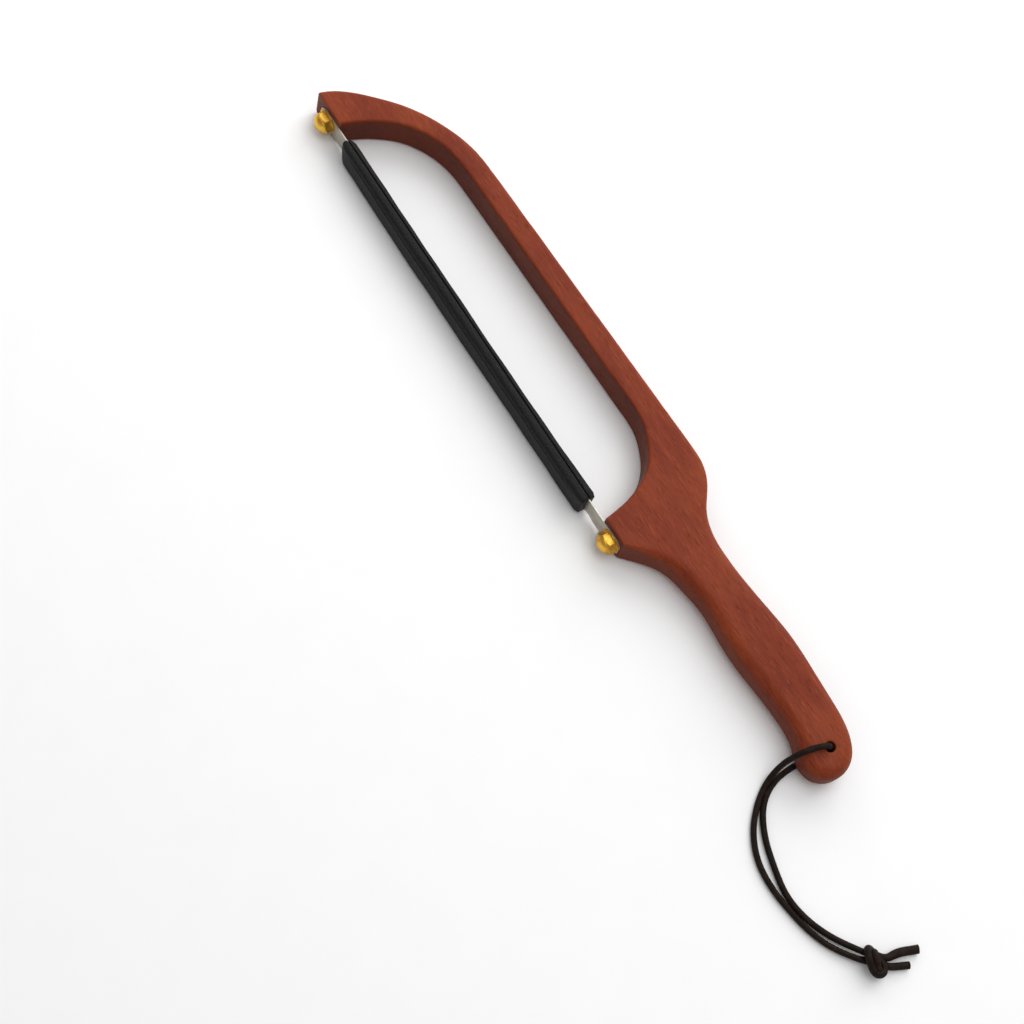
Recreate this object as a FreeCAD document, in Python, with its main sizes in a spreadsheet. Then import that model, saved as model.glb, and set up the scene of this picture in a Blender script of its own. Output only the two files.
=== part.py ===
"""Fiddle-bow bread knife: a wooden bow with a thin saw blade, a slotted guard and a knotted lanyard.

Frame: +X runs along the blade towards the handle's butt, +Y from the blade towards the arm, and
+Z is up through the wood. The origin is on the flat back face, on the grip's centre line, where
the grip meets the bow. Millimetres.
"""
import FreeCAD, Part
import Sketcher
import math
import os

V = FreeCAD.Vector
UP = V(0, 0, 1)
OUT = V(0, -1, 0)               # from the seats through the blade to the nuts
ENDS = ("front", "rear")
SPARE = 10.0                    # how far cutting tools reach past the piece they cut
doc = FreeCAD.newDocument("bow_bread_knife")
pieces = []                     # the knife's pieces, in the order they are made


# ---------------------------------------------------------------- driving dimensions

SIZES = [
    ("wood_thick", 17.5),       # thickness of the bow, front face to back face
    ("seat_line", -26.0),       # y of the flat seats that the blade lies on
    ("bow_edge", 1.5),          # rounding of the bow's edges
    ("grip_edge", 6.0),         # rounding of the grip's edges
    ("front_stud_x", -256.5),
    ("rear_stud_x", -10.5),
    ("stud_height", 7.7),       # z of both studs, the middle of the blade's width
    ("stud_dia", 5.0),
    ("stud_depth", 14.0),       # length set in the wood
    ("stud_point", 2.5),        # pointed end, inside that length
    ("stud_out", 4.6),          # length outside the seat, ending inside the cap nut
    ("blade_thick", 0.6),
    ("blade_spine", 13.4),      # z of the blade's back
    ("blade_wide", 11.8),
    ("blade_overhang", 6.0),    # blade past each stud
    ("tooth_pitch", 6.0),
    ("tooth_deep", 1.1),
    ("teeth_from", -240.0),
    ("teeth_count", 36),
    ("stud_hole_dia", 5.4),     # clearance hole in blade and washers
    ("washer_dia", 12.0),
    ("washer_thick", 0.6),
    ("nut_flats", 10.0),        # across the flats
    ("nut_hex", 3.4),           # height of the hexagon
    ("nut_collar", 0.4),        # round step between hexagon and dome
    ("nut_high", 6.2),          # whole height
    ("nut_dome_dia", 9.4),
    ("nut_bore_dia", 5.1),
    ("nut_bore_deep", 4.0),
    ("guard_from", -240.0),
    ("guard_long", 209.5),
    ("guard_thick", 7.0),
    ("guard_low", 0.4),
    ("guard_high", 15.2),
    ("guard_edge", 2.0),
    ("guard_mid", -26.75),      # y of the guard's middle plane
    ("slot_wide", 1.2),
    ("slot_floor", 1.2),        # z of the slot's closed end, under the teeth
    ("cord_dia", 2.8),
    ("hole_x", 119.4),
    ("hole_y", 1.3),
    ("hole_dia", 5.0),
    ("relief_from", 88.0),      # the back face lifts from here to the butt
    ("relief_angle", 6.5),
    ("knot_long", 14.0),
    ("knot_wide", 12.0),
    ("knot_high", 8.0),
    ("knot_edge", 3.5),
]

sheet = doc.addObject("Spreadsheet::Sheet", "sizes")
for row, (alias, value) in enumerate(SIZES, start=1):
    sheet.set(f"A{row}", alias)
    sheet.set(f"B{row}", str(value))
    sheet.setAlias(f"B{row}", alias)
doc.recompute()


def size(alias):
    return float(sheet.get(alias))


def bind(thing, **bindings):
    """Bind each named property to an expression; the sheet's cells are written as sizes.alias."""
    for name, expression in bindings.items():
        thing.setExpression(name, expression)


def primitive(kind, name, **bindings):
    thing = doc.addObject(kind, name)
    bind(thing, **bindings)
    return thing


def rod(name, at, axis, diameter, height):
    """A cylinder from a point along an axis; its diameter and height are expressions."""
    thing = primitive("Part::Cylinder", name, Radius=f"({diameter}) / 2", Height=height)
    return place(thing, at, axis)


def box(name, low, high, **bindings):
    """A box between two corners, then any of its sizes bound to expressions."""
    thing = doc.addObject("Part::Box", name)
    thing.Length, thing.Width, thing.Height = (high[axis] - low[axis] for axis in range(3))
    bind(thing, **bindings)
    thing.Placement.Base = V(*low)
    return thing


def boolean(kind, name, base, tool):
    thing = doc.addObject(kind, name)
    thing.Base = base
    thing.Tool = tool
    return thing


def place(thing, at, axis):
    """Put the thing at the point, with its own z axis turned to the given direction."""
    thing.Placement = FreeCAD.Placement(at, FreeCAD.Rotation(UP, axis))
    return thing


def origin_plane(body, role):
    return next(item for item in body.Origin.OriginFeatures if item.Role == role)


def new_sketch(body, name, role="XY_Plane"):
    sketch = body.newObject("Sketcher::SketchObject", name)
    sketch.AttachmentSupport = [(origin_plane(body, role), "")]
    sketch.MapMode = "FlatFace"
    return sketch


def named(thing, label):
    """Make the object one of the knife's pieces: its label names its file."""
    thing.Label = label
    pieces.append(thing)


# ---------------------------------------------------------------- bow_frame

SEAT = size("seat_line")
THICK = size("wood_thick")

# Corners of the outline, all on the seat line.
TIP = (-267.5, SEAT)
FRONT_HORN = (-247.8, SEAT)
REAR_HORN = (-18.8, SEAT)
THROAT = (-3.4, SEAT)

# The bow's inner edge: round at the front horn, straight along the arm, round at the rear horn.
INNER_FRONT = [FRONT_HORN, (-243.3, -14.2), (-235.4, -1.4), (-223.5, 8.3), (-210.0, 13.2), (-194.0, 14.5)]
INNER_REAR = [(-64.0, 16.3), (-51.4, 15.9), (-39.8, 12.1), (-30.3, 5.4), (-24.2, -3.6), (-20.8, -13.5),
              REAR_HORN]
# The bow's outer edge from the shoulder to the tip.
ARM_REAR = (-27.0, 29.6)
ARM_FRONT = (-192.0, 25.7)
OUTER_TIP = [ARM_FRONT, (-205.5, 24.6), (-220.5, 20.2), (-238.0, 10.6), (-254.6, -4.6), (-262.6, -14.6), TIP]
# The grip: throat, finger side, butt, palm side, shoulder.
GRIP = [THROAT, (3.9, -19.8), (13.0, -13.7), (24.5, -10.6), (38.6, -8.8), (58.0, -10.0), (78.0, -9.2),
        (97.0, -8.0), (109.0, -9.2), (119.0, -12.6), (126.8, -11.2), (131.6, -5.4), (132.3, 1.0),
        (129.6, 7.4), (121.5, 13.3), (107.0, 16.3), (90.0, 17.2), (71.5, 18.0), (51.5, 16.2), (34.0, 14.4),
        (20.0, 14.0), (9.5, 15.1), (0.5, 18.7), (-7.0, 24.2), (-15.0, 28.3), ARM_REAR]
GRIP_CUTS = [(24.5, -10.6), (119.0, -12.6), (121.5, 13.3), (20.0, 14.0)]


def line(start, end):
    return Part.LineSegment(V(*start, 0), V(*end, 0))


def smooth(points, start_along=None, end_along=None):
    """A spline through the points, leaving or arriving along a given direction where it joins a line."""
    spots = [V(x, y, 0) for x, y in points]
    tangents = [V(1, 0, 0)] * len(spots)
    given = [False] * len(spots)
    for index, along in ((0, start_along), (-1, end_along)):
        if along:
            tangents[index] = along
            given[index] = True
    curve = Part.BSplineCurve()
    curve.interpolate(Points=spots, Tangents=tangents, TangentFlags=given, Scale=False)
    return curve


def split(curve, cuts):
    """The curve as separate edges that meet at the given points."""
    values = [curve.FirstParameter]
    values += [curve.parameter(V(x, y, 0)) for x, y in cuts]
    values.append(curve.LastParameter)
    parts = []
    for low, high in zip(values, values[1:]):
        part = curve.copy()
        part.segment(low, high)
        parts.append(part)
    return parts


def direction(start, end):
    return V(end[0] - start[0], end[1] - start[1], 0).normalize()


arm_inside = direction(INNER_FRONT[-1], INNER_REAR[0])
arm_outside = direction(ARM_REAR, ARM_FRONT)
outline = [line(TIP, FRONT_HORN), smooth(INNER_FRONT, end_along=arm_inside)]
outline += [line(INNER_FRONT[-1], INNER_REAR[0]), smooth(INNER_REAR, start_along=arm_inside)]
outline += [line(REAR_HORN, THROAT)]
outline += split(smooth(GRIP, end_along=arm_outside), GRIP_CUTS)
outline += [line(ARM_REAR, ARM_FRONT), smooth(OUTER_TIP, start_along=arm_outside)]

blank = doc.addObject("PartDesign::Body", "wood_blank")
outline_sketch = new_sketch(blank, "bow_outline")
for curve in outline:
    outline_sketch.addGeometry(curve, False)
pad = blank.newObject("PartDesign::Pad", "wood_pad")
pad.Profile = outline_sketch
bind(pad, Length="sizes.wood_thick")
doc.recompute()


GRIP_START = 15.0               # x where the large rounding of the grip is reached


def edge_rounding(point):
    """Radius of the worn edge at an outline point: small on the bow, large on the grip."""
    return size("grip_edge") if point.x > GRIP_START else size("bow_edge")


rounds = []
for number, edge in enumerate(blank.Shape.Edges, start=1):
    heights = {round(vertex.Z, 3) for vertex in edge.Vertexes}
    flat = len(heights) == 1
    on_seat = all(abs(vertex.Y - SEAT) < 0.01 for vertex in edge.Vertexes)
    if flat and not on_seat:
        first, last = edge.Vertexes[0].Point, edge.Vertexes[-1].Point
        rounds.append((number, edge_rounding(first), edge_rounding(last)))

rounded = doc.addObject("Part::Fillet", "rounded_blank")
rounded.Base = blank
rounded.Edges = rounds
doc.recompute()


def stud_spot(end, y=SEAT):
    return V(size(f"{end}_stud_x"), y, size("stud_height"))


# The back face lifts gently towards the butt, so the cord can pass under it.
RELIEF_SPAN = 80.0
relief = box("back_relief", (0, -RELIEF_SPAN / 2, -SPARE), (RELIEF_SPAN, RELIEF_SPAN / 2, 0))
lift = FreeCAD.Rotation(V(0, 1, 0), -size("relief_angle"))
relief.Placement = FreeCAD.Placement(V(size("relief_from"), 0, 0), lift) * relief.Placement
relieved = boolean("Part::Cut", "relieved_blank", rounded, relief)

lanyard_hole = rod("lanyard_hole", V(size("hole_x"), size("hole_y"), -SPARE), UP, "sizes.hole_dia",
                   f"sizes.wood_thick + 2 * {SPARE}")
frame = boolean("Part::Cut", "drilled_blank", relieved, lanyard_hole)
for end in ENDS:
    seat_hole = rod(f"{end}_stud_hole", stud_spot(end), -OUT, "sizes.stud_dia", "sizes.stud_depth")
    frame = boolean("Part::Cut", f"{end}_drilled_blank", frame, seat_hole)
named(frame, "bow_frame")


# ---------------------------------------------------------------- saw_blade

def drill(sketch, x, y, name, expression):
    """Add a hole to a sketch, with its radius bound to an expression."""
    index = sketch.addGeometry(Part.Circle(V(x, y, 0), UP, 1.0), False)
    number = sketch.addConstraint(Sketcher.Constraint("Radius", index, 1.0))
    sketch.renameConstraint(number, name)
    bind(sketch, **{f"Constraints.{name}": expression})


# The sketch lies in the XZ plane, so its second direction is the knife's z.
blade_start = size("front_stud_x") - size("blade_overhang")
blade_end = size("rear_stud_x") + size("blade_overhang")
spine = size("blade_spine")
cutting_edge = spine - size("blade_wide")
BLADE_CORNER = 2.5

pitch = size("tooth_pitch")
teeth_end = size("teeth_from") + pitch * size("teeth_count")
edges = []
for tooth in range(int(size("teeth_count"))):
    left = size("teeth_from") + pitch * tooth
    crown = V(left + pitch / 2, cutting_edge + size("tooth_deep"), 0)
    edges.append(Part.Arc(V(left, cutting_edge, 0), crown, V(left + pitch, cutting_edge, 0)))
# Round the blade from the last tooth over its spine and back to the first, with cut corners.
corners = [(teeth_end, cutting_edge), (blade_end - BLADE_CORNER, cutting_edge),
           (blade_end, cutting_edge + BLADE_CORNER), (blade_end, spine - BLADE_CORNER),
           (blade_end - BLADE_CORNER, spine), (blade_start + BLADE_CORNER, spine),
           (blade_start, spine - BLADE_CORNER), (blade_start, cutting_edge + BLADE_CORNER),
           (blade_start + BLADE_CORNER, cutting_edge), (size("teeth_from"), cutting_edge)]
edges += [line(start, end) for start, end in zip(corners, corners[1:])]

blade = doc.addObject("PartDesign::Body", "blade_body")
blade_sketch = new_sketch(blade, "blade_outline", "XZ_Plane")
for curve in edges:
    blade_sketch.addGeometry(curve, False)
for end in ENDS:
    drill(blade_sketch, size(f"{end}_stud_x"), size("stud_height"), f"{end}_hole", "sizes.stud_hole_dia / 2")
steel = blade.newObject("PartDesign::Pad", "blade_pad")
steel.Profile = blade_sketch
bind(steel, Length="sizes.blade_thick")
blade.Placement.Base = V(0, SEAT, 0)
named(blade, "saw_blade")


# ---------------------------------------------------------------- blade_guard

guard_low = size("guard_low")
guard_side = size("guard_mid") + size("guard_thick") / 2
guard_box = box("guard_box", (size("guard_from"), guard_side - size("guard_thick"), guard_low),
                (0, guard_side, size("guard_high")), Length="sizes.guard_long", Width="sizes.guard_thick",
                Height="sizes.guard_high - sizes.guard_low")
doc.recompute()
long_edges = [number for number, edge in enumerate(guard_box.Shape.Edges, start=1)
              if edge.Length > size("guard_high")]
guard_round = doc.addObject("Part::Fillet", "guard_round")
guard_round.Base = guard_box
guard_round.Edges = [(number, size("guard_edge"), size("guard_edge")) for number in long_edges]
blade_middle = SEAT - size("blade_thick") / 2
slot_start = size("guard_from") - SPARE
slot = box("guard_slot", (slot_start, blade_middle - size("slot_wide") / 2, size("slot_floor")),
           (slot_start, SEAT, size("guard_high") + SPARE), Length=f"sizes.guard_long + 2 * {SPARE}",
           Width="sizes.slot_wide")
named(boolean("Part::Cut", "slotted_guard", guard_round, slot), "blade_guard")


# ---------------------------------------------------------------- studs, washers and cap nuts

def make_stud(end):
    """A stud with a pointed end in the wood and a plain end in the cap nut."""
    shank_long = "sizes.stud_depth - sizes.stud_point + sizes.stud_out"
    shank = rod(f"{end}_shank", stud_spot(end, SEAT - size("stud_out")), -OUT, "sizes.stud_dia", shank_long)
    point = primitive("Part::Cone", f"{end}_point",
                      Radius1="sizes.stud_dia / 2", Radius2="sizes.stud_dia / 8", Height="sizes.stud_point")
    place(point, stud_spot(end, SEAT + size("stud_depth") - size("stud_point")), -OUT)
    named(boolean("Part::Fuse", f"{end}_stud_solid", shank, point), f"{end}_stud")


def make_washer(end):
    seat = stud_spot(end, SEAT - size("blade_thick"))
    disc = rod(f"{end}_washer_disc", seat, OUT, "sizes.washer_dia", "sizes.washer_thick")
    hole = rod(f"{end}_washer_hole", seat, OUT, "sizes.stud_hole_dia", "sizes.washer_thick")
    named(boolean("Part::Cut", f"{end}_washer_ring", disc, hole), f"{end}_washer")


def make_nut(end):
    """A cap nut: chamfered hexagon, round collar and low dome, with a blind bore for the stud."""
    seat = stud_spot(end, SEAT - size("blade_thick") - size("washer_thick"))
    hexagon = primitive("Part::Prism", f"{end}_hexagon", Circumradius="sizes.nut_flats / sqrt(3)",
                        Height="sizes.nut_hex")
    place(hexagon, seat, OUT)
    top_radius = "sizes.nut_flats / 2 + 0.2"
    chamfer = primitive("Part::Cone", f"{end}_chamfer", Radius1=f"{top_radius} + 1.5 * sizes.nut_hex",
                        Radius2=top_radius, Height="sizes.nut_hex")
    place(chamfer, seat, OUT)
    base = boolean("Part::Common", f"{end}_hex_base", hexagon, chamfer)
    collar_top = size("nut_hex") + size("nut_collar")
    collar = rod(f"{end}_collar", seat, OUT, "sizes.nut_dome_dia", "sizes.nut_hex + sizes.nut_collar")
    rise = "(sizes.nut_high - sizes.nut_hex - sizes.nut_collar)"
    ball = f"((sizes.nut_dome_dia / 2) ^ 2 + {rise} ^ 2) / (2 * {rise})"
    dome = primitive("Part::Sphere", f"{end}_dome", Radius=ball, Angle1=f"asin(1 - {rise} / ({ball}))")
    doc.recompute()
    sunk = dome.Radius.Value - (size("nut_high") - collar_top)
    place(dome, seat + OUT * (collar_top - sunk), OUT)
    body = boolean("Part::Fuse", f"{end}_capped", boolean("Part::Fuse", f"{end}_crown", base, collar), dome)
    bore = rod(f"{end}_bore", seat, OUT, "sizes.nut_bore_dia", "sizes.nut_bore_deep")
    named(boolean("Part::Cut", f"{end}_nut_solid", body, bore), f"{end}_cap_nut")


for end in ENDS:
    make_stud(end)
    make_washer(end)
    make_nut(end)


# ---------------------------------------------------------------- lanyard

HOLE = (size("hole_x"), size("hole_y"))
LYING = 1.5                     # height of the cord's middle where it lies on the table

FRONT_ROUTE = [(*HOLE, 13.3), (*HOLE, 20.6), (116.4, -5.4, 20.1), (114.8, -12.4, 18.8), (114.1, -17.7, 12.5),
               (114.9, -22.0, 5.6), (117.5, -28.2, LYING), (122.6, -36.4, 1.6), (131.1, -45.1, LYING),
               (142.7, -51.0, LYING), (155.7, -52.4, 1.6), (168.0, -51.1, LYING), (180.3, -48.7, 1.6),
               (192.4, -43.6, 1.9), (201.6, -36.4, 3.2)]
BACK_ROUTE = [(*HOLE, 13.3), (119.6, 1.6, 7.45), (119.3, 0.9, LYING), (118.2, -6.8, 1.6),
              (117.7, -15.2, LYING), (119.5, -24.9, 1.6), (124.8, -34.3, LYING), (135.6, -41.9, LYING),
              (149.0, -46.1, 1.6), (161.4, -48.1, LYING), (173.4, -47.3, LYING), (184.8, -42.9, 1.6),
              (193.8, -36.4, 2.2), (201.7, -30.7, 3.4)]


def cord_wire(points):
    """Straight runs joined by tangent arcs, each as large as its two runs allow."""
    spots = [V(*point) for point in points]
    parts = []
    here = spots[0]
    radii = []
    for before, corner, after in zip(spots, spots[1:], spots[2:]):
        back, ahead = before - corner, after - corner
        reach = 0.45 * min(back.Length, ahead.Length)
        start = corner + back * (reach / back.Length)
        finish = corner + ahead * (reach / ahead.Length)
        half_turn = (math.pi - back.getAngle(ahead)) / 2
        radius = reach / math.tan(half_turn)
        radii.append(round(radius, 1))
        middle = (start + finish) * 0.5
        centre = corner + (middle - corner) * (math.hypot(reach, radius) / (middle - corner).Length)
        crown = centre + (corner - centre) * (radius / (corner - centre).Length)
        parts.append(Part.LineSegment(here, start).toShape())
        parts.append(Part.Arc(start, crown, finish).toShape())
        here = finish
    parts.append(Part.LineSegment(here, spots[-1]).toShape())
    return Part.Wire(parts), radii


def make_cord(label, points):
    """A round tube swept along its route."""
    wire, radii = cord_wire(points)
    path = doc.addObject("Part::Feature", f"{label}_path")
    path.Shape = wire
    section = primitive("Part::Circle", f"{label}_section", Radius="sizes.cord_dia / 2")
    place(section, V(*points[0]), V(*points[1]) - V(*points[0]))
    tube = doc.addObject("Part::Sweep", f"{label}_tube")
    tube.Sections = [section]
    tube.Spine = (path, [f"Edge{number}" for number in range(1, len(wire.Edges) + 1)])
    tube.Solid = True
    named(tube, label)
    doc.recompute()
    expected = math.pi * size("cord_dia") ** 2 / 4 * wire.Length
    print(f"{label}: length {wire.Length:.1f} mm, volume {tube.Shape.Volume:.0f} of {expected:.0f} mm3, "
          f"radii {radii}")


make_cord("lanyard_front_strand", FRONT_ROUTE)
make_cord("lanyard_back_strand", BACK_ROUTE)

# The overhand knot as a rounded block, with the two cut ends that stand out of it.
KNOT_MIDDLE = V(205.0, -32.7, size("knot_high") / 2)
TAILS = {"upper": (V(206.5, -28.0, 3.5), V(211.1, -11.5, 2.0)),
         "lower": (V(208.5, -30.0, 3.5), V(214.6, -19.0, 1.7))}

knot_size = V(size("knot_long"), size("knot_wide"), size("knot_high"))
knot_block = box("knot_block", KNOT_MIDDLE - knot_size * 0.5, KNOT_MIDDLE + knot_size * 0.5,
                 Length="sizes.knot_long", Width="sizes.knot_wide", Height="sizes.knot_high")
doc.recompute()
knot = doc.addObject("Part::Fillet", "knot_body")
knot.Base = knot_block
knot.Edges = [(number, size("knot_edge"), size("knot_edge"))
              for number in range(1, len(knot_block.Shape.Edges) + 1)]
for name, (root, tip) in TAILS.items():
    tail = rod(f"{name}_tail", root, tip - root, "sizes.cord_dia", str((tip - root).Length))
    knot = boolean("Part::Fuse", f"knot_with_{name}_tail", knot, tail)
named(knot, "lanyard_knot")


# ---------------------------------------------------------------- check and write

doc.recompute()
for item in doc.Objects:
    if {"Invalid", "Error"} & set(item.State):
        raise RuntimeError(f"{item.Name} failed: {item.State}")

os.makedirs("parts", exist_ok=True)
for piece in pieces:
    shape = piece.Shape
    if shape.isNull() or not shape.isValid() or not shape.Solids:
        raise RuntimeError(f"{piece.Label} has no valid solid")
    bounds = shape.BoundBox
    print(f"{piece.Label}: {len(shape.Solids)} solid, volume {shape.Volume:.1f} mm3, "
          f"x {bounds.XMin:.1f}..{bounds.XMax:.1f}, y {bounds.YMin:.1f}..{bounds.YMax:.1f}, "
          f"z {bounds.ZMin:.1f}..{bounds.ZMax:.1f}")
    shape.exportStep(f"parts/{piece.Label}.step")
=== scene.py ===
import math

import bmesh
import bpy
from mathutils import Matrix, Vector, noise


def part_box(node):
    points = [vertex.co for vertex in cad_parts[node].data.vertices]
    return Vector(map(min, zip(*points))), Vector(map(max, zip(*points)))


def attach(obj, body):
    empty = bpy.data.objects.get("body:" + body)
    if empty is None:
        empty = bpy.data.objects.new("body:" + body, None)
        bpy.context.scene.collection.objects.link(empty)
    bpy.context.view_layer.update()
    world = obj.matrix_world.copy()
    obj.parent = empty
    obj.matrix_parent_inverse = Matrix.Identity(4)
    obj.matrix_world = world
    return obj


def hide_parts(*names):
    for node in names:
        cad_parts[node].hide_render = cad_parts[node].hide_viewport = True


# A fiddle-bow bread knife lying flat: wooden bow, saw blade in a leather guard, brass cap nuts, cord lanyard.
# +X runs along the blade to the butt, +Y from the blade to the arm, +Z up. All lengths are in metres.
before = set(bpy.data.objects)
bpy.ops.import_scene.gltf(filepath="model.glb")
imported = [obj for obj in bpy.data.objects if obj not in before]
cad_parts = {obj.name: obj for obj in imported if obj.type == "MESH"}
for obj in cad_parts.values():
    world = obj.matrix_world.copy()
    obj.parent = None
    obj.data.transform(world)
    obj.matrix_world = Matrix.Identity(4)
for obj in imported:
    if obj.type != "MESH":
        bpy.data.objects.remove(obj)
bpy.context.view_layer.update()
mm = 0.001
mergeReach = 0.002 * mm  # points closer than this are one


cameraView = {"lens": 63.28, "place": (0.12272, -0.32404, 0.75426), "turn": (20.64, -9.909, 56.717)}


def addCamera():
    turn = [math.radians(angle) for angle in cameraView["turn"]]
    bpy.ops.object.camera_add(location=cameraView["place"], rotation=turn)
    camera = bpy.context.object
    camera.data.lens = cameraView["lens"]
    bpy.context.scene.camera = camera


def deselectAll():
    if bpy.context.object and bpy.context.object.mode != "OBJECT":
        bpy.ops.object.mode_set(mode="OBJECT")
    bpy.ops.object.select_all(action="DESELECT")


def pick(piece):
    deselectAll()
    piece.select_set(True)
    bpy.context.view_layer.objects.active = piece


def rename(piece, name):
    piece.name = name
    piece.data.name = name
    return piece


def startEdit(piece):
    # edit mode with nothing selected
    pick(piece)
    bpy.ops.object.mode_set(mode="EDIT")
    bpy.ops.mesh.select_all(action="DESELECT")


def endEdit():
    bpy.ops.object.mode_set(mode="OBJECT")


def chooseEdges(piece, wanted):
    # selects the edges for which wanted(one end, other end) is true
    bpy.ops.mesh.select_mode(type="EDGE")
    edit = bmesh.from_edit_mesh(piece.data)
    for edge in edit.edges:
        edge.select_set(bool(wanted(edge.verts[0].co, edge.verts[1].co)))
    bmesh.update_edit_mesh(piece.data)


def settle(piece):
    # puts the place into the mesh, so that the object itself sits at the origin
    pick(piece)
    bpy.ops.object.transform_apply(location=True, rotation=True, scale=True)


def finishWith(piece, kind, **settings):
    # adds a modifier and applies it
    pick(piece)
    modifier = piece.modifiers.new(kind.title(), kind)
    for key, value in settings.items():
        setattr(modifier, key, value)
    bpy.ops.object.modifier_apply(modifier=modifier.name)


def smoothShade(piece, angle=35):
    pick(piece)
    bpy.ops.object.shade_smooth_by_angle(angle=math.radians(angle))


def copyOfNode(node, name):
    # a merged copy of a CAD node's loose triangles
    piece = bpy.data.objects.new(name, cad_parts[node].data.copy())
    bpy.context.scene.collection.objects.link(piece)
    piece.data.name = name
    startEdit(piece)
    bpy.ops.mesh.select_all(action="SELECT")
    bpy.ops.mesh.remove_doubles(threshold=mergeReach)
    endEdit()
    return piece


def writeShares(piece, name, shares):
    # one value for each point, for the finish to read
    attribute = piece.data.attributes.new(name, "FLOAT", "POINT")
    attribute.data.foreach_set("value", shares)


def reshape(piece, move):
    # passes every point through move(point)
    for point in piece.data.vertices:
        point.co = move(point.co.copy())
    piece.data.update()


def spun(name, profile, seat, steps):
    # spins a profile of (radius, distance out of the seat) about the stud's line, which points along -Y
    deselectAll()
    bpy.ops.mesh.primitive_plane_add(size=mm, location=(0, 0, 0))
    piece = rename(bpy.context.object, name)
    bpy.ops.object.mode_set(mode="EDIT")
    bpy.ops.mesh.merge(type="CENTER")
    here = Vector((0, 0, 0))
    points = [seat + Vector((radius, -out, 0)) * mm for radius, out in profile]
    bpy.ops.transform.translate(value=points[0] - here)
    for start, end in zip(points, points[1:]):
        bpy.ops.mesh.extrude_region_move(TRANSFORM_OT_translate={"value": end - start})
    bpy.ops.mesh.select_all(action="SELECT")
    bpy.ops.mesh.spin(steps=steps, angle=2 * math.pi, center=seat, axis=(0, 1, 0))
    bpy.ops.mesh.select_all(action="SELECT")
    bpy.ops.mesh.remove_doubles(threshold=mergeReach)
    bpy.ops.mesh.normals_make_consistent(inside=False)
    endEdit()
    return piece


class Wire:
    # one socket of a finish; arithmetic on it adds Math nodes
    def __init__(self, finish, socket):
        self.finish = finish
        self.socket = socket

    def calc(self, operation, *values):
        return self.finish.node("Math", {"operation": operation}, dict(enumerate(values)))

    def __add__(self, other):
        return self.calc("ADD", self, other)

    def __radd__(self, other):
        return self.calc("ADD", other, self)

    def __sub__(self, other):
        return self.calc("SUBTRACT", self, other)

    def __rsub__(self, other):
        return self.calc("SUBTRACT", other, self)

    def __mul__(self, other):
        return self.calc("MULTIPLY", self, other)

    def __rmul__(self, other):
        return self.calc("MULTIPLY", other, self)


class Finish:
    def __init__(self, name):
        self.material = bpy.data.materials.new(name)
        self.material.use_nodes = True
        self.shader = self.material.node_tree.nodes["Principled BSDF"]

    def node(self, kind, settings=None, sockets=None, out=0):
        # a node by its type, its settings, then its sockets by number or name
        made = self.material.node_tree.nodes.new("ShaderNode" + kind)
        for key, value in (settings or {}).items():
            setattr(made, key, value)
        for key, value in (sockets or {}).items():
            self.feed(made.inputs[key], value)
        return Wire(self, made.outputs[out])

    def feed(self, socket, value):
        if isinstance(value, Wire):
            self.material.node_tree.links.new(value.socket, socket)
        elif socket.type == "RGBA" and len(value) == 3:
            socket.default_value = (*value, 1)
        else:
            socket.default_value = value

    def place(self, stretch=(1, 1, 1), turn=(0, 0, 0)):
        # a point of the piece, in stretched millimetres
        here = self.node("TexCoord", out="Object")
        scale = [part / mm for part in stretch]
        return self.node("Mapping", None, {"Vector": here, "Scale": scale, "Rotation": turn})

    def grain(self, where, scale, detail=3, rough=0.55, bent=0):
        sockets = {"Vector": where, "Scale": scale, "Detail": detail, "Roughness": rough, "Distortion": bent}
        return self.node("TexNoise", None, sockets)

    def between(self, value, low, high):
        # 0 below low, 1 above high
        return self.node("MapRange", {"clamp": True}, {0: value, 1: low, 2: high})

    def mix(self, factor, first, second):
        return self.node("Mix", {"data_type": "RGBA"}, {0: factor, 6: first, 7: second}, out=2)

    def bump(self, height, distance, strength=1):
        return self.node("Bump", None, {"Height": height, "Distance": distance, "Strength": strength})

    def set(self, **sockets):
        for key, value in sockets.items():
            self.feed(self.shader.inputs[key.replace("_", " ")], value)
        return self.material


def tint(red, green, blue):
    # a colour from 0-255 screen values
    def channel(value):
        part = value / 255
        return part / 12.92 if part <= 0.04045 else ((part + 0.055) / 1.055) ** 2.4
    return channel(red), channel(green), channel(blue)


def paint(piece, material):
    piece.data.materials.clear()
    piece.data.materials.append(material)


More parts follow.
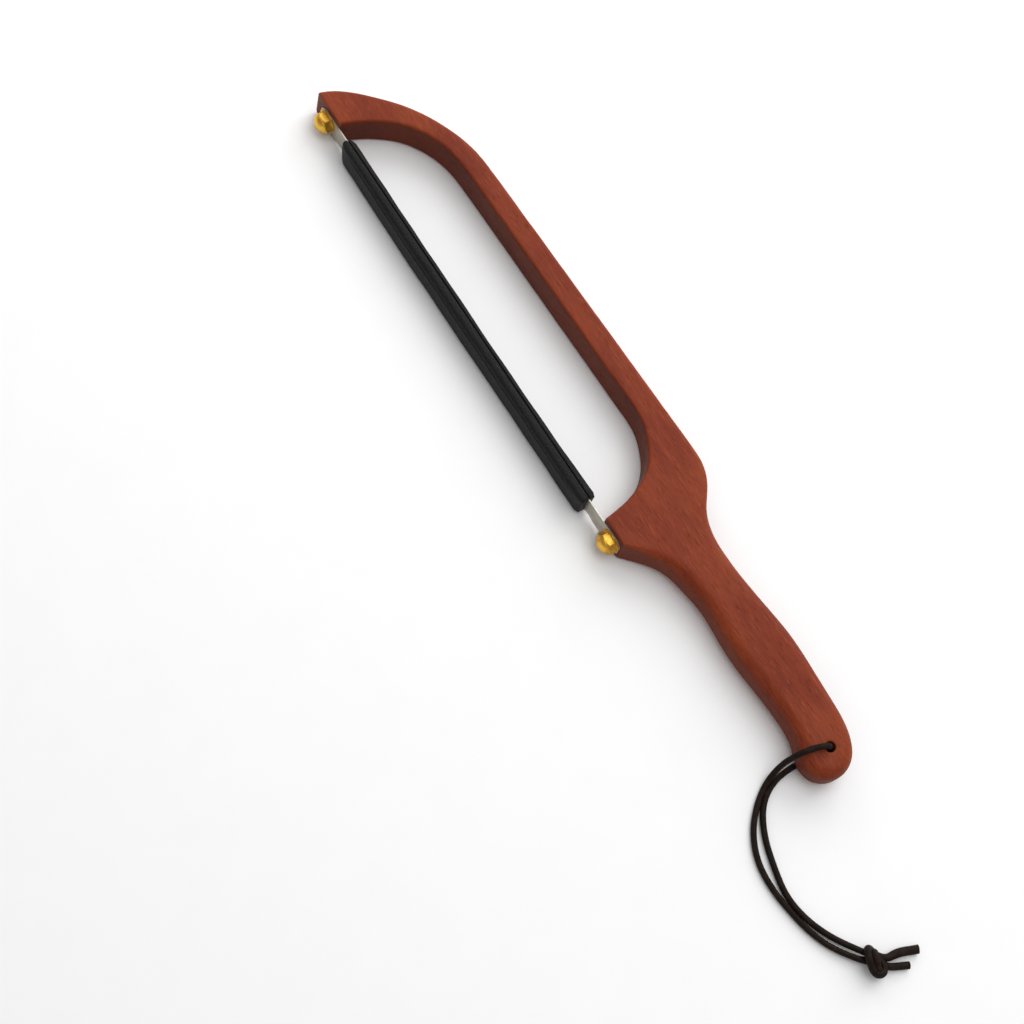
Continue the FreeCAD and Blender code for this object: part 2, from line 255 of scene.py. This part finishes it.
# The lower heights are where the cord lies on the table; the same points as the CAD tubes follow.
cords = {
    "lanyard_front": {
        "node": "lanyard_front_strand", "exit": (0.1194, 0.0013, 0.0175), "length": 0.1406,
        "route": [(0.1194, 0.0013, 0.0133), (0.1194, 0.0013, 0.0206), (0.1164, -0.0054, 0.0201),
                  (0.1148, -0.0124, 0.0188), (0.1141, -0.0177, 0.0125), (0.1149, -0.0220, 0.0056),
                  (0.1175, -0.0282, 0.0015), (0.1226, -0.0364, 0.0016), (0.1311, -0.0451, 0.0015),
                  (0.1427, -0.0510, 0.0015), (0.1557, -0.0524, 0.0016), (0.1680, -0.0511, 0.0015),
                  (0.1803, -0.0487, 0.0016), (0.1924, -0.0436, 0.0019), (0.2016, -0.0364, 0.0032)]},
    "lanyard_back": {
        "node": "lanyard_back_strand", "exit": (0.1194, 0.0013, 0.0036), "length": 0.1328,
        "route": [(0.1194, 0.0013, 0.0133), (0.1196, 0.0016, 0.00745), (0.1193, 0.0009, 0.0015),
                  (0.1182, -0.0068, 0.0016), (0.1173, -0.0153, 0.0015), (0.1186, -0.0253, 0.0016),
                  (0.1244, -0.0348, 0.0015), (0.1356, -0.0419, 0.0015), (0.1490, -0.0461, 0.0016),
                  (0.1614, -0.0488, 0.0015), (0.1734, -0.0473, 0.0015), (0.1848, -0.0429, 0.0016),
                  (0.1943, -0.0371, 0.0022), (0.2023, -0.0316, 0.0034)]},
}
cordSize = {"across": 2.8 * mm, "bevelSteps": 5, "splineSteps": 14}


def cordCurve(name, route, radii=None):
    curve = bpy.data.curves.new(name, "CURVE")
    curve.dimensions = "3D"
    curve.bevel_depth = cordSize["across"] / 2
    curve.bevel_resolution = cordSize["bevelSteps"]
    curve.use_fill_caps = True
    spline = curve.splines.new("NURBS")
    spline.points.add(len(route) - 1)
    for point, place in zip(spline.points, route):
        point.co = (*place, 1)
    for point, radius in zip(spline.points, radii or []):
        point.radius = radius
    spline.order_u = 3
    spline.use_endpoint_u = True
    spline.resolution_u = cordSize["splineSteps"]
    piece = bpy.data.objects.new(name, curve)
    bpy.context.scene.collection.objects.link(piece)
    return piece


def cordFinish():
    # dark waxed cord, slightly wrinkled and dusty on its high spots
    cord = Finish("waxed_cord")
    wrinkle = cord.grain(cord.place(), 1.1, 4, 0.6)
    fibre = cord.grain(cord.place(), 4.5, 2, 0.6)
    worn = cord.between(cord.grain(cord.place(), 0.35, 3), 0.45, 0.75)
    colour = cord.mix(wrinkle, tint(15, 7, 3), tint(31, 18, 11))
    colour = cord.mix(worn * 0.30, colour, tint(58, 44, 38))
    return cord.set(Base_Color=colour, Roughness=0.45 + fibre * 0.3, Specular_IOR_Level=0.12,
                    Normal=cord.bump(wrinkle * 0.7 + fibre * 0.3, 0.25 * mm))


def makeCords(finish):
    for name, facts in cords.items():
        piece = cordCurve(name, facts["route"])
        paint(piece, finish)
        facts["piece"] = piece
    print("cords laid")


# In millimetres from the knot's middle: along the cord, across it, and up. Both strands take the same
# overhand turn side by side: in low on the left, round the right, back over the top and out underneath.
# The tails are in the knife's own frame. A strand's last radii make its tail wide and flat.
knot = {
    "middle": Vector((202.8, -34.3, 4.1)), "heading": 37, "tailFlat": 0.78, "swell": 1.24,
    "cutRim": 0.25 * mm,
    "strands": {
        "upper": {
            "turn": [(-1.5, 2.6, -1.0), (0.8, 2.5, -0.9), (4.2, 2.2, -1.0), (7.0, 0.2, -0.4),
                     (7.6, -2.8, 0.2), (5.6, -4.8, 0.8), (2.8, -4.4, 1.6), (0.6, -2.4, 2.8),
                     (-1.6, 0.6, 3.3), (-2.6, 3.0, 2.4), (-1.8, 4.6, 0.4), (0.2, 4.6, -1.6),
                     (2.6, 3.4, -2.2)],
            "tail": [(206.7, -26.8, 2.9), (207.1, -22.4, 2.5), (208.4, -18.0, 1.9), (210.2, -14.3, 1.7),
                     (211.8, -10.2, 1.7)],
            "radius": 1.42, "cut": {"at": (211.2, -11.6, 1.7), "facing": (0.45, 0.89, 0)}},
        "lower": {
            "turn": [(-4.2, -0.98, -1.1), (-2.6, -0.8, -1.0), (0.4, -0.2, -1.1), (3.0, -0.4, -0.8),
                     (4.6, -1.4, -0.2), (4.8, -2.6, 0.6), (3.4, -2.4, 2.0), (2.6, -0.4, 3.2), (1.0, 1.8, 3.5),
                     (0.4, 3.2, 2.3), (1.4, 3.9, 0.0), (3.0, 2.6, -2.0), (4.8, 1.0, -2.0)],
            "tail": [(209.9, -28.2, 2.8), (211.8, -24.6, 2.1), (213.3, -21.6, 1.7), (214.8, -18.6, 1.7)],
            "radius": 1.22, "cut": {"at": (214.4, -19.2, 1.7), "facing": (0.48, 0.87, 0)}},
    },
}


def makeStrand(name, facts):
    # one strand through the knot, as a closed tube with its tail cut across
    heading = math.radians(knot["heading"])
    along = Vector((math.cos(heading), math.sin(heading), 0))
    across = Vector((-math.sin(heading), math.cos(heading), 0))
    turn = [knot["middle"] + along * a + across * b + Vector((0, 0, c)) for a, b, c in facts["turn"]]
    tail = [Vector(place) for place in facts["tail"]]
    radii = [1, 1.1] + [knot["swell"]] * (len(turn) - 2)  # the cord thickens where it is pulled tight
    radii += [1.15] + [facts["radius"]] * (len(tail) - 1)
    strand = cordCurve(f"lanyard_knot_{name}", [place * mm for place in turn + tail], radii)
    pick(strand)
    bpy.ops.object.convert(target="MESH")
    flatFrom = tail[0].y * mm

    def flatten(point):
        # the tail is a flat lace, pressed towards the middle of its own thickness and resting on the table
        share = min(max((point.y - flatFrom) / (4 * mm), 0), 1)
        middle = tail[-1].z * mm
        point.z += (middle + (point.z - middle) * knot["tailFlat"] - point.z) * share
        point.z = max(point.z, 0.1 * mm)
        return point

    reshape(strand, flatten)
    startEdit(strand)
    bpy.ops.mesh.select_all(action="SELECT")
    bpy.ops.mesh.bisect(plane_co=Vector(facts["cut"]["at"]) * mm, plane_no=facts["cut"]["facing"],
                        use_fill=True, clear_outer=True)
    endEdit()
    return strand


def makeKnot(finish):
    # the doubled overhand knot and its two cut tails, pulled tight into one piece
    strands = [makeStrand(name, facts) for name, facts in knot["strands"].items()]
    deselectAll()
    for strand in strands:
        strand.select_set(True)
    bpy.context.view_layer.objects.active = strands[0]
    bpy.ops.object.join()
    piece = rename(bpy.context.object, "lanyard_knot_tied")
    startEdit(piece)
    bpy.ops.mesh.select_all(action="SELECT")
    bpy.ops.mesh.remove_doubles(threshold=mergeReach)
    bpy.ops.mesh.normals_make_consistent(inside=False)
    endEdit()
    finishWith(piece, "BEVEL", width=knot["cutRim"], segments=2, limit_method="ANGLE",
               angle_limit=math.radians(50))
    smoothShade(piece, 50)
    paint(piece, finish)
    return piece


def declareCords(knotPiece):
    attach(knotPiece, "root")
    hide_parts("lanyard_knot")
    for name, facts in cords.items():
        piece = facts["piece"]
        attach(piece, "root")
        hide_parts(facts["node"])


bow = {"voxel": 0.66 * mm, "smoothing": 2, "unevenness": 0.22 * mm, "unevenSize": 16 * mm,
       "edgeReach": 0.10 * mm}


def makeBow(finish):
    # the CAD shape gone over by hand: fine even mesh, softened edges and the faint waves of sanding
    piece = copyOfNode("bow_frame", "bow_wood")
    finishWith(piece, "REMESH", mode="VOXEL", voxel_size=bow["voxel"], adaptivity=0)
    finishWith(piece, "SMOOTH", factor=0.5, iterations=bow["smoothing"])
    waves = bpy.data.textures.new("sanding", "CLOUDS")
    waves.noise_scale = bow["unevenSize"]
    finishWith(piece, "DISPLACE", texture=waves, texture_coords="LOCAL", strength=bow["unevenness"],
               mid_level=0.5)
    markEdges(piece)
    pick(piece)
    bpy.ops.object.shade_smooth()
    paint(piece, finish)
    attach(piece, "root")
    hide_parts("bow_frame")
    print("bow frame:", len(piece.data.polygons), "faces")


def markEdges(piece):
    # how far each point stands out of its neighbours, for the rubbed edges, and how far it faces sideways,
    # for the painted shade on the side walls
    shape = bmesh.new()
    shape.from_mesh(piece.data)
    shape.normal_update()
    reach = bow["edgeReach"]
    worn, side = [], []
    for point in shape.verts:
        around = [edge.other_vert(point).co for edge in point.link_edges]
        middle = sum(around, Vector()) / len(around)
        worn.append(min(max((point.co - middle).dot(point.normal) / reach, 0), 1))
        side.append(1 - abs(point.normal.z))
    shape.free()
    writeShares(piece, "worn", worn)
    writeShares(piece, "side", side)


def woodFinish():
    # oiled red-brown hardwood: long soft figure, short dark pores, pale flecks, rubbed edges, and painted
    # shade darkening the side walls
    wood = Finish("oiled_hardwood")
    figure = wood.grain(wood.place((0.12, 1, 1)), 0.11, 4, 0.6, 0.6)
    ribbon = wood.grain(wood.place((0.06, 1, 0.8)), 0.50, 4, 0.6, 0.3)
    blotch = wood.grain(wood.place((0.35, 1, 1)), 0.045, 2)
    pores = wood.between(wood.grain(wood.place((0.12, 1, 1)), 1.7, 2, 0.5, 0.2), 0.58, 0.72)
    flecks = wood.between(wood.grain(wood.place((0.12, 1, 1)), 1.25, 3, 0.6, 0.3), 0.54, 0.76)
    pitch = wood.between(wood.grain(wood.place((0.3, 1, 1)), 0.30, 3, 0.6), 0.60, 0.78)
    worn = wood.between(wood.node("Attribute", {"attribute_name": "worn"}, out="Fac"), 0.15, 0.9)
    # how far each point faces sideways: the mask of the painted shade on the walls
    side = wood.between(wood.node("Attribute", {"attribute_name": "side"}, out="Fac"), 0.35, 0.9)
    colour = wood.mix(wood.between(figure, 0.3, 0.7), tint(110, 39, 19), tint(136, 54, 27))
    colour = wood.mix(wood.between(ribbon, 0.35, 0.7) * 0.45, colour, tint(98, 33, 14))
    colour = wood.mix(wood.between(blotch, 0.42, 0.62) * 0.40, colour, tint(150, 68, 33))
    colour = wood.mix(flecks * 0.38, colour, tint(170, 90, 50))
    colour = wood.mix(pores * 0.40, colour, tint(76, 24, 11))
    colour = wood.mix(pitch * 0.25, colour, tint(84, 29, 13))
    # painted shade: the side walls are darkened by how far they face sideways
    colour = wood.mix(side * 0.50, colour, tint(62, 20, 8))
    colour = wood.mix(worn * 0.30, colour, tint(158, 78, 46))
    gloss = 0.48 + pores * 0.20 + figure * 0.08
    relief = ribbon * 0.35 + flecks * 0.15 - pores * 0.8
    return wood.set(Base_Color=colour, Roughness=gloss, Specular_IOR_Level=0.14,
                    Normal=wood.bump(relief, 0.10 * mm, 0.8))


blade = {"grindTop": 4.2 * mm, "edgeLow": 1.6 * mm, "edgeThick": 0.2}


def makeBlade(finish):
    # the band with its ground lower edge
    piece = copyOfNode("saw_blade", "saw_blade_ground")
    low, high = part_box("saw_blade")
    middle = (low.y + high.y) / 2
    startEdit(piece)
    bpy.ops.mesh.select_all(action="SELECT")
    bpy.ops.mesh.bisect(plane_co=(0, 0, blade["grindTop"]), plane_no=(0, 0, 1), use_fill=False)
    bpy.ops.mesh.select_all(action="DESELECT")
    endEdit()
    fall = blade["grindTop"] - blade["edgeLow"]

    def grind(point):
        share = min(max((blade["grindTop"] - point.z) / fall, 0), 1)
        point.y = middle + (point.y - middle) * (1 - share * (1 - blade["edgeThick"]))
        return point

    reshape(piece, grind)
    smoothShade(piece, 8)
    paint(piece, finish)
    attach(piece, "root")
    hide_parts("saw_blade")
    print("blade ground")


def steelFinish(name, bright, dark, brushed):
    # bare steel, brushed along its length, with a little staining
    steel = Finish(name)
    lines = steel.grain(steel.place((0.03, 1, 1)), brushed, 3, 0.6)
    stain = steel.between(steel.grain(steel.place(), 0.22, 4, 0.6), 0.5, 0.75)
    colour = steel.mix(lines, bright, dark)
    colour = steel.mix(stain * 0.4, colour, tint(118, 108, 92))
    return steel.set(Base_Color=colour, Metallic=0.9, Roughness=0.3 + lines * 0.25 + stain * 0.1,
                     Normal=steel.bump(lines, 0.03 * mm, 0.5))


washer = {"outer": 6.0, "inner": 2.7, "thick": 0.6, "chamfer": 0.12, "steps": 96}


def studSeat(end, lift):
    # a point on a stud's line, lift metres out of the washer's seat on the blade
    low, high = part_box(f"{end}_washer")
    return Vector(((low.x + high.x) / 2, high.y - lift, (low.z + high.z) / 2))


def makeWasher(end, finish):
    outer, inner, thick, cut = (washer[key] for key in ("outer", "inner", "thick", "chamfer"))
    profile = [(inner, 0), (outer - cut, 0), (outer, cut), (outer, thick - cut), (outer - cut, thick),
               (inner + cut, thick), (inner, thick - cut), (inner, 0)]
    piece = spun(f"{end}_washer_ring", profile, studSeat(end, 0), washer["steps"])
    smoothShade(piece, 30)
    paint(piece, finish)
    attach(piece, "root")
    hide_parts(f"{end}_washer")


capNut = {"flats": 10.0, "hexHigh": 3.4, "topRadius": 5.2, "domeRadius": 4.7, "collar": 0.4, "high": 6.2,
          "bore": 2.55, "boreDeep": 4.0, "boreChamfer": 0.35, "footRound": 0.12, "topChamfer": 0.6,
          "spare": 0.05, "milledFrom": 4.75, "rows": 6, "domeSteps": 9, "steps": 120, "cornerRound": 0.18}


def nutProfile():
    # from the bore's floor out to the hexagon's corner and over the dome to the top
    hexHigh, dome = capNut["hexHigh"], capNut["domeRadius"]
    corner = capNut["flats"] / math.sqrt(3)
    shoulder = capNut["topRadius"]
    bore, ease, rows = capNut["bore"], capNut["boreChamfer"], capNut["rows"]
    blank, top, foot = corner + capNut["spare"], capNut["topChamfer"], capNut["footRound"]
    deep = capNut["boreDeep"]
    low = [(0, deep), (bore, deep), (bore, ease), (bore + ease, 0), (corner - ease, 0)]
    sides = [(blank, 0.3 + part * (hexHigh - 0.3 - top) / rows) for part in range(rows + 1)]
    chamfer = [(blank + (shoulder - corner) * part / rows, hexHigh - top + top * part / rows)
               for part in range(1, rows + 1)]
    step = [(dome + foot, hexHigh), (dome, hexHigh + foot), (dome, hexHigh + capNut["collar"])]
    rise = capNut["high"] - hexHigh - capNut["collar"]
    ball = (dome ** 2 + rise ** 2) / (2 * rise)
    half = math.asin(dome / ball)
    cap = []
    for part in range(1, capNut["domeSteps"] + 1):
        angle = half * (1 - part / capNut["domeSteps"])
        cap.append((ball * math.sin(angle), capNut["high"] - ball * (1 - math.cos(angle))))
    cap[-1] = (0, capNut["high"])
    return low + sides + chamfer + step + cap


def makeNut(end, finish):
    # a spun blank whose sides are then milled to a hexagon
    seat = studSeat(end, washer["thick"] * mm)
    piece = spun(f"{end}_cap_nut_brass", nutProfile(), seat, capNut["steps"])
    apothem = capNut["flats"] / 2 * mm
    soft = capNut["cornerRound"] * mm

    def mill(point):
        arm = Vector((point.x - seat.x, 0, point.z - seat.z))
        out = seat.y - point.y
        if arm.length < capNut["milledFrom"] * mm or out > (capNut["hexHigh"] + capNut["spare"]) * mm:
            return point
        angle = math.atan2(arm.z, arm.x) % (math.pi / 3) - math.pi / 6
        flat = apothem / math.cos(angle)
        corner = apothem / math.cos(math.pi / 6)
        flat = min(flat, corner - soft + soft * (flat / corner))
        return point + arm.normalized() * (min(arm.length, flat) - arm.length)

    reshape(piece, mill)
    smoothShade(piece, 24)
    paint(piece, finish)
    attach(piece, f"{end}_nut")
    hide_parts(f"{end}_cap_nut")


def brassFinish():
    # polished brass with faint turning marks, handled and warmer in the hollows
    brass = Finish("polished_brass")
    marks = brass.grain(brass.place((1, 0.2, 1)), 2.2, 3, 0.6)
    tarnish = brass.between(brass.grain(brass.place(), 0.28, 4, 0.6), 0.42, 0.72)
    scratch = brass.between(brass.grain(brass.place((0.15, 1, 1)), 3.0, 2), 0.62, 0.7)
    colour = brass.mix(tarnish, tint(226, 178, 74), tint(176, 124, 44))
    return brass.set(Base_Color=colour, Metallic=1.0, Roughness=0.30 + tarnish * 0.12 + scratch * 0.10,
                     Normal=brass.bump(marks * 0.6 + scratch * 0.4, 0.03 * mm, 0.5))


guard = {"slotHalf": 0.6 * mm, "slotFloor": 1.2 * mm, "lipHalf": 0.33 * mm, "lipDeep": 1.9 * mm,
         "edge": 2.0 * mm, "edgeSteps": 6, "stations": 110, "bow": 0.7 * mm, "flare": 0.7 * mm,
         "flareLong": 60 * mm, "noseLong": 5 * mm, "heelLong": 9 * mm, "heelBack": 2.0 * mm,
         "creaseHigh": 12.1 * mm, "creaseDeep": 0.95 * mm, "creaseWide": 0.7 * mm, "creaseWander": 0.5 * mm,
         "wobble": 0.30 * mm, "endKeep": 0.9 * mm, "rim": 0.12 * mm}


def makeGuard(finish):
    # a moulded leather sheath, open along the top so that it pushes over the teeth from below
    low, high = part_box("blade_guard")
    bladeLow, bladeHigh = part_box("saw_blade")
    slotAt = (bladeLow.y + bladeHigh.y) / 2
    long = high.x - low.x
    deselectAll()
    bpy.ops.mesh.primitive_cube_add(size=1, location=(low + high) / 2, scale=high - low)
    piece = rename(bpy.context.object, "blade_guard_leather")
    settle(piece)
    startEdit(piece)
    chooseEdges(piece, lambda one, two: abs(one.x - two.x) > long / 2)
    bpy.ops.mesh.bevel(offset=guard["edge"], segments=guard["edgeSteps"], profile=0.5)
    endEdit()
    deselectAll()
    slotLow = guard["slotFloor"]
    size = Vector((long + 10 * mm, 2 * guard["slotHalf"], high.z - slotLow + 2 * mm))
    centre = Vector(((low.x + high.x) / 2, slotAt, slotLow + size.z / 2))
    bpy.ops.mesh.primitive_cube_add(size=1, location=centre, scale=size)
    cutter = bpy.context.object
    settle(cutter)
    finishWith(piece, "BOOLEAN", object=cutter, operation="DIFFERENCE", solver="EXACT")
    bpy.data.objects.remove(cutter)
    startEdit(piece)
    for part in range(1, guard["stations"]):
        bpy.ops.mesh.select_all(action="SELECT")
        bpy.ops.mesh.bisect(plane_co=(low.x + long * part / guard["stations"], 0, 0), plane_no=(1, 0, 0))
    creaseRows = [guard["creaseHigh"] + row * 0.4 * mm for row in range(-4, 4)]
    for height in (slotLow, low.z + 4 * mm, low.z + 7 * mm, low.z + 9 * mm, *creaseRows,
                   high.z - guard["lipDeep"] / 2, high.z - 0.3 * mm):
        bpy.ops.mesh.select_all(action="SELECT")
        bpy.ops.mesh.bisect(plane_co=(0, 0, height), plane_no=(0, 0, 1))
    bpy.ops.mesh.select_all(action="SELECT")
    bpy.ops.mesh.remove_doubles(threshold=mergeReach)
    endEdit()
    middle = (low + high) / 2

    def creaseAt(start):
        # how deep a point lies in the crease below the rounding of the near side, 0 to 1, for its dent and
        # for the painted shade in it
        if start.y > middle.y or start.z < middle.z:
            return 0
        line = guard["creaseHigh"] + noise.noise(Vector((start.x * 45, 3.1, 0))) * guard["creaseWander"]
        ends = min(max((start.x - low.x - 6 * mm) / (10 * mm), 0), 1)
        ends *= min(max((high.x - start.x - 3 * mm) / (12 * mm), 0), 1)
        return max(1 - abs(start.z - line) / guard["creaseWide"], 0) * ends

    # the crease depths, kept as the mask of the painted shade in the crease
    painted_crease_shade = [creaseAt(point.co) for point in piece.data.vertices]

    def mould(point):
        start = point.copy()
        share = (point.x - low.x) / long
        # both ends: cut back at the heel and a little lower than the middle, inside the slot as well
        heel = max(1 - (start.x - low.x) / guard["heelLong"], 0)
        nose = max(1 - (start.x - low.x) / guard["noseLong"], 0)
        tail = max(1 - (high.x - start.x) / (guard["noseLong"] * 0.5), 0)
        point.x += guard["heelBack"] * heel * max((middle.z - start.z) / (middle.z - low.z), 0) ** 1.5
        point.z = middle.z + (point.z - middle.z) * (1 - 0.12 * nose ** 2 - 0.05 * tail ** 2)
        inSlot = abs(start.y - slotAt) < guard["slotHalf"] + 0.01 * mm and start.z > slotLow - 0.01 * mm
        if inSlot:
            # the lips close towards the blade's spine
            lip = min(max((start.z - (high.z - guard["lipDeep"])) / guard["lipDeep"], 0), 1)
            half = guard["slotHalf"] + (guard["lipHalf"] - guard["slotHalf"]) * lip
            point.y = slotAt + math.copysign(half, point.y - slotAt)
            return point
        # outside: bowed in the middle, flared at the rear, pinched at both ends, slightly uneven
        side = math.copysign(1, point.y - middle.y)
        away = abs(point.y - slotAt) / (high.y - slotAt if side > 0 else slotAt - low.y)
        point.y -= guard["bow"] * 4 * share * (1 - share) * min(away, 1)
        flare = max(1 - (high.x - start.x) / guard["flareLong"], 0) ** 1.5
        point.y += side * guard["flare"] * flare * min(away, 1)
        pinch = 1 - 0.42 * nose ** 2 - 0.20 * tail ** 2
        keep = guard["endKeep"]
        point.y = slotAt + math.copysign(max(abs(point.y - slotAt) * pinch, min(keep, abs(point.y - slotAt))),
                                         point.y - slotAt)
        wobble = noise.noise(Vector((start.x * 60, start.y * 90, start.z * 90)))
        point.y += wobble * guard["wobble"] * min(away, 1)
        point.y += guard["creaseDeep"] * creaseAt(start)
        return point

    writeShares(piece, "painted_crease_shade", painted_crease_shade)
    reshape(piece, mould)
    finishWith(piece, "BEVEL", width=guard["rim"], segments=2, limit_method="ANGLE",
               angle_limit=math.radians(50))
    smoothShade(piece, 40)
    paint(piece, finish)
    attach(piece, "guard")
    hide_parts("blade_guard")
    print("guard:", len(piece.data.polygons), "faces")


def leatherFinish():
    # black leather: pebbled grain on its upper side, smoother and a little browner below, and painted shade
    # darkening the crease
    leather = Finish("black_leather")
    cells = leather.node("TexVoronoi", {"feature": "F1"}, {"Vector": leather.place(), "Scale": 0.9})
    fine = leather.grain(leather.place(), 2.4, 4, 0.6)
    broad = leather.grain(leather.place((0.3, 1, 1)), 0.16, 3)
    scuffs = leather.between(leather.grain(leather.place((0.5, 1, 1)), 0.5, 5, 0.7), 0.62, 0.76)
    height = leather.node("SeparateXYZ", None, {0: leather.place()}, out="Z")
    top = leather.between(height, 10.5, 12.5)
    painted_crease_shade = leather.node("Attribute", {"attribute_name": "painted_crease_shade"}, out="Fac")
    colour = leather.mix(broad, tint(12, 12, 12), tint(20, 19, 19))
    colour = leather.mix(scuffs * (0.15 + top * 0.35), colour, tint(62, 60, 59))
    # painted shade: the crease is darkened to near black
    colour = leather.mix(leather.between(painted_crease_shade, 0.05, 0.5), colour, tint(4, 4, 4))
    relief = (cells * 0.6 + fine * 0.4) * (0.6 + top * 0.4)
    return leather.set(Base_Color=colour, Roughness=0.48 + fine * 0.22, Specular_IOR_Level=0.2,
                       Normal=leather.bump(relief, 0.45 * mm))


studio = {"floorSize": 6, "world": 0.46,
          "lamps": [
              {"name": "key", "place": (-0.55, 1.25, 0.95), "size": 1.5, "power": 18},
              {"name": "top", "place": (0.1, 0.3, 1.6), "size": 1.2, "power": 9},
              {"name": "rim", "place": (-0.9, 0.2, 0.5), "size": 0.5, "power": 1.5}]}


def floorFinish():
    # pale matt paper
    paper = Finish("pale_paper")
    fleck = paper.grain(paper.place(), 0.05, 3)
    return paper.set(Base_Color=paper.mix(fleck, (0.93, 0.93, 0.93), (0.96, 0.96, 0.96)), Roughness=0.85)


def addStudio():
    deselectAll()
    bpy.ops.mesh.primitive_plane_add(size=studio["floorSize"], location=(0, 0, 0))
    floor = rename(bpy.context.object, "floor")
    settle(floor)
    paint(floor, floorFinish())
    aim = Vector((-0.03, 0, 0))
    for facts in studio["lamps"]:
        place = Vector(facts["place"])
        turn = (aim - place).to_track_quat("-Z", "Y").to_euler()
        bpy.ops.object.light_add(type="AREA", location=place, rotation=turn)
        lamp = bpy.context.object
        lamp.name = facts["name"]
        lamp.data.size = facts["size"]
        lamp.data.energy = facts["power"]
    world = bpy.data.worlds.new("studio")
    bpy.context.scene.world = world
    world.use_nodes = True
    world.node_tree.nodes["Background"].inputs["Color"].default_value = (1, 1, 1, 1)
    world.node_tree.nodes["Background"].inputs["Strength"].default_value = studio["world"]
    bpy.context.scene.view_settings.view_transform = "Standard"


addCamera()
cordMaterial = cordFinish()
makeCords(cordMaterial)
declareCords(makeKnot(cordMaterial))
makeBow(woodFinish())
makeBlade(steelFinish("blade_steel", tint(208, 203, 190), tint(156, 151, 140), 1.6))
studMaterial = steelFinish("stud_steel", tint(170, 170, 168), tint(120, 120, 118), 3.0)
brassMaterial = brassFinish()
for end in ("front", "rear"):
    paint(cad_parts[f"{end}_stud"], studMaterial)
    makeWasher(end, brassMaterial)
    makeNut(end, brassMaterial)
print("studs, washers and cap nuts done")
makeGuard(leatherFinish())
addStudio()
